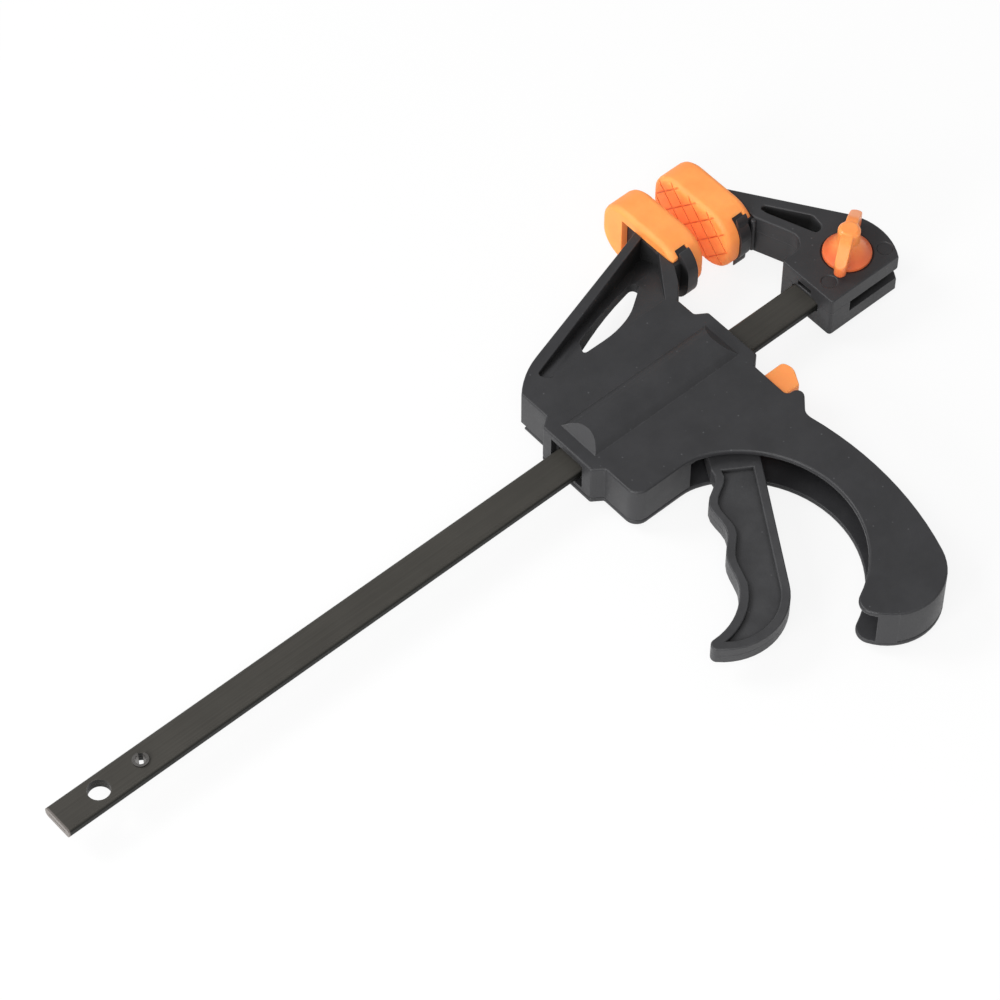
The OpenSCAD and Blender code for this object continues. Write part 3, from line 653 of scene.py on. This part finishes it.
class Bench:
    """Modelling steps that work on one object at a time."""

    WELD = 0.000002
    FLAT_ANGLE = 0.5
    LEVEL_NORMAL = 0.999
    UPRIGHT_NORMAL = 0.35
    HALF_RIM = 0.5

    @staticmethod
    def take(*objects: bpy.types.Object) -> None:
        """Selects these objects alone; the last one becomes active."""
        bpy.ops.object.select_all(action="DESELECT")
        for obj in objects:
            obj.select_set(True)
        bpy.context.view_layer.objects.active = objects[-1]

    @staticmethod
    def copy_of(node: str, name: str) -> bpy.types.Object:
        """Copies a solid's mesh and joins its loose triangles into plain faces.

        Args:
            node: Name of the solid.
            name: Name of the new piece.

        Returns:
            The new piece.
        """
        obj = bpy.data.objects.new(name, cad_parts[node].data.copy())
        obj.data.name = name
        bpy.context.scene.collection.objects.link(obj)
        Bench.take(obj)
        bpy.ops.mesh.customdata_custom_splitnormals_clear()
        bpy.ops.object.mode_set(mode="EDIT")
        bpy.ops.mesh.select_all(action="SELECT")
        bpy.ops.mesh.remove_doubles(threshold=Bench.WELD)
        bpy.ops.mesh.dissolve_limited(angle_limit=math.radians(Bench.FLAT_ANGLE))
        bpy.ops.object.mode_set(mode="OBJECT")
        return obj

    @staticmethod
    def apply(obj: bpy.types.Object, kind: str, **values: object) -> None:
        """Adds one modifier to a piece and applies it.

        Args:
            obj: The piece.
            kind: Blender's name of the modifier type.
            **values: The modifier's properties.
        """
        Bench.take(obj)
        modifier = obj.modifiers.new(kind.lower(), kind)
        for key, value in values.items():
            setattr(modifier, key, value)
        bpy.ops.object.modifier_apply(modifier=modifier.name)

    @staticmethod
    def round_edges(obj: bpy.types.Object, width: float, segments: int = 2,
                    angle: float = 34.0) -> None:
        """Rounds the sharp edges of a piece.

        Args:
            obj: The piece.
            width: Width of the rounding, in metres.
            segments: Number of faces across it.
            angle: Edges sharper than this, in degrees, are rounded.
        """
        Bench.apply(obj, "BEVEL", width=width, segments=segments, limit_method="ANGLE",
                    angle_limit=math.radians(angle), use_clamp_overlap=True,
                    miter_outer="MITER_ARC")

    @staticmethod
    def round_rims(obj: bpy.types.Object, width: float, full_below: float,
                   segments: int = 3) -> None:
        """Rounds the convex rims of the faces that look straight up or down.

        Args:
            obj: The piece.
            width: Width of the rounding, in metres.
            full_below: Rims past this y, in metres, get half the width.
            segments: Number of faces across it.
        """
        mesh = obj.data
        faces_of: dict[tuple[int, int], list[bpy.types.MeshPolygon]] = {}
        for face in mesh.polygons:
            for key in face.edge_keys:
                faces_of.setdefault(key, []).append(face)
        weights = mesh.attributes.new("bevel_weight_edge", "FLOAT", "EDGE")
        for edge in mesh.edges:
            faces = sorted(faces_of[tuple(sorted(edge.vertices))],
                           key=lambda f: -abs(f.normal.z))
            if (len(faces) != 2 or abs(faces[0].normal.z) < Bench.LEVEL_NORMAL
                    or abs(faces[1].normal.z) > Bench.UPRIGHT_NORMAL):
                continue
            corner = mesh.vertices[edge.vertices[0]].co
            if (faces[1].center - corner).dot(faces[0].normal) < 0:
                weights.data[edge.index].value = 1.0 if corner.y < full_below else Bench.HALF_RIM
        Bench.apply(obj, "BEVEL", width=width, segments=segments, limit_method="WEIGHT",
                    use_clamp_overlap=False, miter_outer="MITER_SHARP")

    @staticmethod
    def smooth(obj: bpy.types.Object, angle: float = 38.0) -> None:
        """Shades a piece smooth apart from edges sharper than angle, its large faces flat.

        Args:
            obj: The piece.
            angle: Edges sharper than this, in degrees, stay sharp.
        """
        Bench.take(obj)
        bpy.ops.object.shade_smooth_by_angle(angle=math.radians(angle))
        Bench.apply(obj, "WEIGHTED_NORMAL", mode="FACE_AREA", weight=50, keep_sharp=True)

    @staticmethod
    def cut(obj: bpy.types.Object, cutter: bpy.types.Object) -> None:
        """Takes the cutter's shape out of a piece, and removes the cutter."""
        Bench.apply(obj, "BOOLEAN", object=cutter, operation="DIFFERENCE", solver="EXACT")
        bpy.data.objects.remove(cutter, do_unlink=True)

    @staticmethod
    def block(size: Triple, place: Triple, turn: Triple = (0.0, 0.0, 0.0)) -> bpy.types.Object:
        """Makes a plain block.

        Args:
            size: Its edges along x, y and z, in metres.
            place: Its middle.
            turn: Its turn about x, y and z, in radians.

        Returns:
            The block.
        """
        bpy.ops.mesh.primitive_cube_add(size=1.0, location=place, rotation=turn)
        block = bpy.context.active_object
        block.scale = size
        Bench.settle(block)
        return block

    @staticmethod
    def join(parts: list[bpy.types.Object]) -> bpy.types.Object:
        """Joins several objects into the last one and returns it."""
        Bench.take(*parts)
        bpy.ops.object.join()
        return parts[-1]

    @staticmethod
    def settle(obj: bpy.types.Object) -> None:
        """Puts a piece's place, turn and size into its mesh."""
        Bench.take(obj)
        bpy.ops.object.transform_apply(location=True, rotation=True, scale=True)

    @staticmethod
    def seat(obj: bpy.types.Object, body: Body, slot: Slot, *nodes: str) -> None:
        """Makes a piece ride on its body and stand for its solids.

        Args:
            obj: The piece.
            body: Body that it rides on.
            slot: Record slot of its finish; not used.
            *nodes: Solids that it stands for.
        """
        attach(obj, body.value)
        if nodes:
            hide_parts(*nodes)
        LOG.info("%s: %d faces on %s", obj.name, len(obj.data.polygons), body.value)


# ---------- Sub-assemblies ----------


@dataclass(frozen=True)
class BoxPocket:
    """A square pocket, by its lowest and highest corners in millimetres."""

    low: Triple
    high: Triple

    def cutter(self) -> bpy.types.Object:
        """Builds the shape to cut away."""
        low, high = Vector(self.low) * MM, Vector(self.high) * MM
        return Bench.block(high - low, (low + high) / 2)


@dataclass
class RoundedSolid:
    """A moulded part whose edges are rounded.

    Rims of level faces are rounded by the width of rim, and past full_rim_below,
    along y, by half of it.
    """

    node: str
    body: Body
    slot: Slot
    finish: Finish
    edge: float = 0.25 * MM
    segments: int = 2
    rim: float = 0.0
    full_rim_below: float = 1.0
    pockets: tuple[BoxPocket, ...] = ()

    def build(self, shelf: FinishShelf) -> None:
        """Models and dresses the part.

        Args:
            shelf: The finishes.
        """
        obj = Bench.copy_of(self.node, f"{self.node}_moulded")
        for pocket in self.pockets:
            Bench.cut(obj, pocket.cutter())
        if self.rim:
            Bench.round_rims(obj, self.rim, self.full_rim_below)
        Bench.round_edges(obj, self.edge, self.segments)
        Bench.smooth(obj)
        shelf.put_on(obj, self.finish)
        Bench.seat(obj, self.body, self.slot, self.node)


@dataclass
class MoltenSolid:
    """A small moulded part whose edges all run softly into each other."""

    node: str
    body: Body
    slot: Slot
    finish: Finish
    grain: float = 0.18 * MM
    softness: float = 0.5
    passes: int = 9

    def build(self, shelf: FinishShelf) -> None:
        """Models and dresses the part, kept under the top of the solids.

        Args:
            shelf: The finishes.
        """
        obj = Bench.copy_of(self.node, f"{self.node}_moulded")
        Bench.apply(obj, "REMESH", mode="VOXEL", voxel_size=self.grain)
        Bench.apply(obj, "SMOOTH", factor=self.softness, iterations=self.passes)
        for vertex in obj.data.vertices:
            vertex.co.z = min(vertex.co.z, CAD_BOX[1].z)
        Bench.take(obj)
        bpy.ops.object.shade_smooth()
        shelf.put_on(obj, self.finish)
        Bench.seat(obj, self.body, self.slot, self.node)


@dataclass
class FlangeBead:
    """The upright bead in the corner between the fixed jaw's arm and its flange.

    Its middle, radius and levels are in millimetres.
    """

    centre: Pair = (258.9, 26.9)
    radius: float = 0.85
    low: float = -6.3
    high: float = 6.7
    sides: int = 48
    edge: float = 0.4 * MM
    edge_segments: int = 3
    edge_angle: float = 60.0

    def build(self, shelf: FinishShelf) -> None:
        """Models and dresses the bead.

        Args:
            shelf: The finishes.
        """
        bpy.ops.mesh.primitive_cylinder_add(
            vertices=self.sides, radius=self.radius * MM, depth=(self.high - self.low) * MM,
            location=Vector((*self.centre, (self.low + self.high) / 2)) * MM)
        bead = bpy.context.active_object
        bead.name = "flange_bead"
        Bench.settle(bead)
        Bench.round_edges(bead, self.edge, self.edge_segments, self.edge_angle)
        Bench.smooth(bead)
        shelf.put_on(bead, Finish.JAW)
        Bench.seat(bead, Body.BAR, Slot.BLACK_PLASTIC)


@dataclass
class ToeWall:
    """The end of the wall that closes the handle's channel at its toe.

    The corners of its outline and its levels are in millimetres.
    """

    outline: tuple[Pair, ...] = (
        (193.5, -97.8), (190.5, -94.7), (188.764, -96.156), (189.75, -97.367),
        (191.145, -98.715), (192.69, -99.888), (193.19, -100.18), (193.5, -99.9))
    low: float = -5.8
    high: float = 7.3

    def build(self, shelf: FinishShelf) -> None:
        """Models and dresses the wall.

        Args:
            shelf: The finishes.
        """
        bpy.ops.mesh.primitive_circle_add(vertices=len(self.outline), fill_type="NGON")
        wall = bpy.context.active_object
        wall.name = "handle_toe_wall"
        for vertex, (x, y) in zip(wall.data.vertices, self.outline):
            vertex.co = Vector((x, y, self.low)) * MM
        bpy.ops.object.mode_set(mode="EDIT")
        bpy.ops.mesh.select_all(action="SELECT")
        bpy.ops.mesh.extrude_region_move(
            TRANSFORM_OT_translate={"value": (0.0, 0.0, (self.high - self.low) * MM)})
        bpy.ops.mesh.select_all(action="SELECT")
        bpy.ops.mesh.normals_make_consistent(inside=False)
        bpy.ops.object.mode_set(mode="OBJECT")
        Bench.smooth(wall)
        shelf.put_on(wall, Finish.CASING)
        Bench.seat(wall, Body.CARRIAGE, Slot.BLACK_PLASTIC)


@dataclass
class PlainSolids:
    """Solids that keep their own shape and only get a finish."""

    finish: Finish
    nodes: tuple[str, ...]

    def build(self, shelf: FinishShelf) -> None:
        """Puts the finish on every solid.

        Args:
            shelf: The finishes.
        """
        for node in self.nodes:
            shelf.put_on(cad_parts[node], self.finish)
            LOG.info("%s: %s", node, self.finish.value)


@dataclass
class SoftCap:
    """A soft cap over a jaw's flange, with a crosshatched face.

    The face is the one that looks along x, towards the sign of facing.
    """

    node: str
    body: Body
    facing: float
    pitch: float = 5.6 * MM
    groove: float = 0.55 * MM
    depth: float = 0.4 * MM
    turn: float = 42.0
    overreach: float = 1.2
    edge: float = 0.35 * MM
    edge_segments: int = 2
    edge_angle: float = 50.0
    smooth_angle: float = 34.0

    def build(self, shelf: FinishShelf) -> None:
        """Models and dresses the cap.

        Args:
            shelf: The finishes.
        """
        obj = Bench.copy_of(self.node, f"{self.node}_cap")
        Bench.round_edges(obj, self.edge, self.edge_segments, self.edge_angle)
        for turn in (self.turn, -self.turn):
            Bench.cut(obj, self.groove_cutter(math.radians(turn)))
        Bench.smooth(obj, self.smooth_angle)
        shelf.put_on(obj, Finish.SOFT_CAPS)
        Bench.seat(obj, self.body, Slot.ORANGE_RUBBER, self.node)

    def groove_cutter(self, turn: float) -> bpy.types.Object:
        """Builds the side-by-side blades that cut the face in one direction.

        Args:
            turn: Turn of the blades about x, from upright, in radians.

        Returns:
            One object of all blades.
        """
        low, high = (Vector(c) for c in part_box(self.node))
        middle = (low + high) / 2
        middle.x = high.x if self.facing > 0 else low.x
        reach = (high - low).length
        across = Vector((0.0, math.cos(turn), math.sin(turn)))
        count = int(reach / self.pitch / 2) + 1
        size = (2 * self.depth, self.groove, self.overreach * reach)
        return Bench.join([Bench.block(size, middle + across * (step * self.pitch),
                                       (turn, 0.0, 0.0))
                           for step in range(-count, count + 1)])


@dataclass
class CoverScrews:
    """Seven small screws with cross recesses, in the cover's underside.

    Their heads are the faces at the lowest level that are wider than head_width.
    """

    head_width: float = 3.6 * MM
    edge: float = 0.18 * MM
    slot_length: float = 2.6 * MM
    slot_width: float = 0.6 * MM
    slot_depth: float = 0.75 * MM
    turn_step: float = 23.0
    down: float = -0.99
    slack: float = 0.00001

    def build(self, shelf: FinishShelf) -> None:
        """Models and dresses the screws; the two slots of a cross are cut in turn.

        Args:
            shelf: The finishes.
        """
        obj = Bench.copy_of("cover_screws", "cover_screws_cut")
        Bench.round_edges(obj, self.edge)
        heads = self.centres(obj)
        for turn in (0.0, 90.0):
            Bench.cut(obj, self.slot_cutter(heads, turn))
        Bench.smooth(obj)
        shelf.put_on(obj, Finish.BRIGHT_PARTS)
        Bench.seat(obj, Body.CARRIAGE, Slot.BRIGHT_STEEL, "cover_screws")

    def centres(self, obj: bpy.types.Object) -> list[Vector]:
        """Finds the middle of every screw head.

        Args:
            obj: The screws in one mesh.

        Returns:
            One point per screw, on the face of its head.
        """
        floor = min(v.co.z for v in obj.data.vertices)
        heads = []
        for face in obj.data.polygons:
            if face.normal.z < self.down and abs(face.center.z - floor) < self.slack:
                points = [obj.data.vertices[i].co for i in face.vertices]
                if max((p - q).length for p in points for q in points) > self.head_width:
                    heads.append(sum(points, Vector()) / len(points))
        return heads

    def slot_cutter(self, heads: list[Vector], turn: float) -> bpy.types.Object:
        """Builds one blade per head for one slot of its cross.

        Args:
            heads: Middle of every head.
            turn: Turn of the slots in degrees, before each head's own turn.

        Returns:
            One object of all blades, which don't touch each other.
        """
        size = (self.slot_length, self.slot_width, 2 * self.slot_depth)
        return Bench.join([Bench.block(size, head,
                                       (0.0, 0.0, math.radians(turn + self.turn_step * number)))
                           for number, head in enumerate(heads)])


# ---------- Studio ----------


@dataclass(frozen=True)
class SoftLamp:
    """A square lamp that looks at the middle of the clamp."""

    name: str
    place: Triple
    size: float
    power: float

    def hang(self, target: Triple) -> None:
        """Hangs the lamp.

        Args:
            target: Point that it looks at.
        """
        lamp = bpy.data.lights.new(self.name, "AREA")
        lamp.shape = "SQUARE"
        lamp.size = self.size
        lamp.energy = self.power
        obj = bpy.data.objects.new(self.name, lamp)
        obj.location = self.place
        aim = Vector(target) - Vector(self.place)
        obj.rotation_euler = aim.to_track_quat("-Z", "Y").to_euler()
        bpy.context.scene.collection.objects.link(obj)


@dataclass
class Studio:
    """Pale floor, soft lamps and the camera."""

    camera_place: Triple = (-0.2962, -0.4976, 0.8951)
    camera_aim: Triple = (0.1404, 0.002, 0.00176)
    lens: float = 146.2
    sensor: float = 36.0
    clip: Pair = (0.05, 20.0)
    middle: Triple = (0.14, 0.0, 0.0)
    floor_half: float = 3.0
    floor_gap: float = 0.0001
    floor_paint: Triple = (0.9, 0.9, 0.9)
    floor_white: float = 0.86
    floor_mirrored: float = 0.35
    room_light: float = 0.42
    lamps: tuple[SoftLamp, ...] = (
        SoftLamp("lamp_key", (-0.45, 0.75, 1.0), 0.55, 8.0),
        SoftLamp("lamp_left", (-0.95, -0.25, 0.45), 0.4, 8.0),
        SoftLamp("lamp_front", (-0.32, -0.52, 1.05), 0.5, 5.0))

    def build(self) -> None:
        """Sets the whole studio."""
        self.set_floor()
        for lamp in self.lamps:
            lamp.hang(self.middle)
        self.set_world()
        self.set_camera()
        bpy.context.scene.view_settings.view_transform = "Standard"

    def set_floor(self) -> None:
        """Lays a plain pale floor under the clamp, whiter to the camera than in mirrors."""
        level = CAD_BOX[0].z - self.floor_gap
        bpy.ops.mesh.primitive_plane_add(
            size=2 * self.floor_half, location=(self.middle[0], self.middle[1], level))
        floor = bpy.context.active_object
        floor.name = "studio_floor"
        material = bpy.data.materials.new("studio_floor_paint")
        material.use_nodes = True
        material.node_tree.nodes.clear()
        sheet = ShaderSheet(material.node_tree)
        paint = sheet.add("ShaderNodeBsdfDiffuse", Color=(*self.floor_paint, 1.0))
        white = sheet.add("ShaderNodeEmission", Strength=1.0)
        path = sheet.add("ShaderNodeLightPath")
        mirrored = sheet.math(
            "ADD", path.outputs["Is Glossy Ray"], path.outputs["Is Transmission Ray"])
        share = sheet.math(
            "ADD", sheet.math("MULTIPLY", path.outputs["Is Camera Ray"], self.floor_white),
            sheet.math("MULTIPLY", mirrored, self.floor_mirrored))
        mixed = sheet.add("ShaderNodeMixShader")
        sheet.join(share, mixed.inputs[0])
        sheet.join(paint.outputs[0], mixed.inputs[1])
        sheet.join(white.outputs[0], mixed.inputs[2])
        sheet.join(mixed.outputs[0], sheet.add("ShaderNodeOutputMaterial").inputs["Surface"])
        floor.data.materials.append(material)

    def set_world(self) -> None:
        """Fills the room with even light, which is white where the camera sees it."""
        world = bpy.data.worlds.new("studio_room")
        world.use_nodes = True
        world.node_tree.nodes.clear()
        sheet = ShaderSheet(world.node_tree)
        glow = sheet.add("ShaderNodeBackground", Color=(1.0, 1.0, 1.0, 1.0))
        path = sheet.add("ShaderNodeLightPath")
        seen = sheet.math(
            "ADD", path.outputs["Is Camera Ray"], path.outputs["Is Transmission Ray"])
        strength = sheet.spread(
            sheet.math("MINIMUM", seen, 1.0), WHOLE, (self.room_light, 1.0))
        sheet.join(strength, glow.inputs["Strength"])
        sheet.join(glow.outputs[0], sheet.add("ShaderNodeOutputWorld").inputs["Surface"])
        bpy.context.scene.world = world

    def set_camera(self) -> None:
        """Places the camera."""
        camera = bpy.data.cameras.new("studio_camera")
        camera.lens = self.lens
        camera.sensor_width = self.sensor
        camera.clip_start, camera.clip_end = self.clip
        obj = bpy.data.objects.new("studio_camera", camera)
        aim = Vector(self.camera_aim) - Vector(self.camera_place)
        turn = aim.to_track_quat("-Z", "Y").to_matrix().to_4x4()
        obj.matrix_world = Matrix.Translation(Vector(self.camera_place)) @ turn
        bpy.context.scene.collection.objects.link(obj)
        bpy.context.scene.camera = obj


def main() -> None:
    """Builds the finishes, the pieces and the studio in order."""
    logging.basicConfig(level=logging.INFO, format="%(name)s: %(message)s")
    shelf = FinishShelf()
    shelf.build()
    for part in (
            PlainSolids(Finish.BLACK_STRIP, ("bar",)),
            PlainSolids(Finish.ROLLED_PIN, ("stop_pin",)),
            PlainSolids(Finish.BRIGHT_PARTS, (
                "knob_pin", "trigger_pin", "drive_spring", "brake_spring",
                "drive_plate_rear", "drive_plate_front", "brake_plate")),
            RoundedSolid("fixed_jaw", Body.BAR, Slot.BLACK_PLASTIC, Finish.JAW, rim=0.5 * MM,
                         pockets=(BoxPocket((253.9, -2.2, 2.9), (260.0, 3.1, 4.9)),)),
            RoundedSolid("jaw_body", Body.CARRIAGE, Slot.BLACK_PLASTIC, Finish.CASING,
                         rim=0.7 * MM, full_rim_below=21.2 * MM),
            RoundedSolid("cover", Body.CARRIAGE, Slot.BLACK_PLASTIC, Finish.CASING,
                         rim=0.5 * MM),
            RoundedSolid("trigger", Body.TRIGGER, Slot.BLACK_PLASTIC, Finish.TRIGGER,
                         rim=0.45 * MM),
            RoundedSolid("release_button", Body.BRAKE, Slot.ORANGE_PLASTIC,
                         Finish.ORANGE_PARTS, edge=0.5 * MM, segments=3),
            MoltenSolid("release_knob", Body.KNOB, Slot.ORANGE_PLASTIC, Finish.ORANGE_KNOB),
            FlangeBead(),
            ToeWall(),
            SoftCap("fixed_pad", Body.BAR, -1.0),
            SoftCap("moving_pad", Body.CARRIAGE, 1.0),
            CoverScrews()):
        part.build(shelf)
    Studio().build()


if __name__ == "__main__":
    main()
